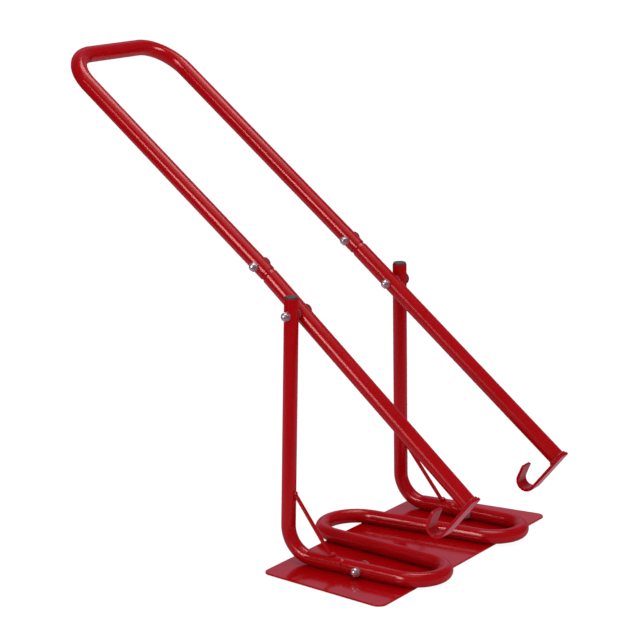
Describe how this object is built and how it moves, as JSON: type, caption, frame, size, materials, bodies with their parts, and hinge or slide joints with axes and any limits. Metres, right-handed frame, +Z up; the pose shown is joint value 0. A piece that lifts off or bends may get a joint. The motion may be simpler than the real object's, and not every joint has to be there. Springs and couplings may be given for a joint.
{
  "type": "manual trash compactor",
  "caption": "Lever press for a wheeled bin: bent-tube handle with rim hooks, pivoting on uprights over a flat press plate with a looped tube.",
  "frame": {"origin": "middle of the press plate's underside", "axes": "+Z up, +X from the uprights towards the hooks, +Y to the left of a person who stands at the handle and faces the hooks"},
  "size_m": [0.7645, 0.4908, 0.7352],
  "materials": {
    "red_paint": "gloss powder coat",
    "bright_zinc": "bright zinc plate",
    "black_plastic": "satin moulded"
  },
  "bodies": {
    "ram_frame": {"press_plate": "red_paint", "press_loop": "red_paint", "upright_left": "red_paint", "upright_right": "red_paint", "brace_left": "red_paint", "brace_right": "red_paint", "end_cap_left": "black_plastic", "end_cap_right": "black_plastic", "foot_bolt_left": "bright_zinc", "foot_bolt_right": "bright_zinc", "foot_nut_left": "bright_zinc", "foot_nut_right": "bright_zinc", "pivot_bolt_left": "bright_zinc", "pivot_bolt_right": "bright_zinc", "pivot_nut_left": "bright_zinc", "pivot_nut_right": "bright_zinc", "pivot_washer_left": "bright_zinc", "pivot_washer_right": "bright_zinc"},
    "lever": {"handle_bow": "red_paint", "lever_arm_left": "red_paint", "lever_arm_right": "red_paint", "hook_left": "red_paint", "hook_right": "red_paint", "joint_bolt_left": "bright_zinc", "joint_bolt_right": "bright_zinc", "joint_nut_left": "bright_zinc", "joint_nut_right": "bright_zinc"}
  },
  "joints": [
    {"name": "lever_pivot", "type": "hinge", "parent": "ram_frame", "child": "lever", "pos_m": [-0.108, 0, 0.377], "axis": [0, -1, 0], "range_deg": [-18, 121]}
  ]
}
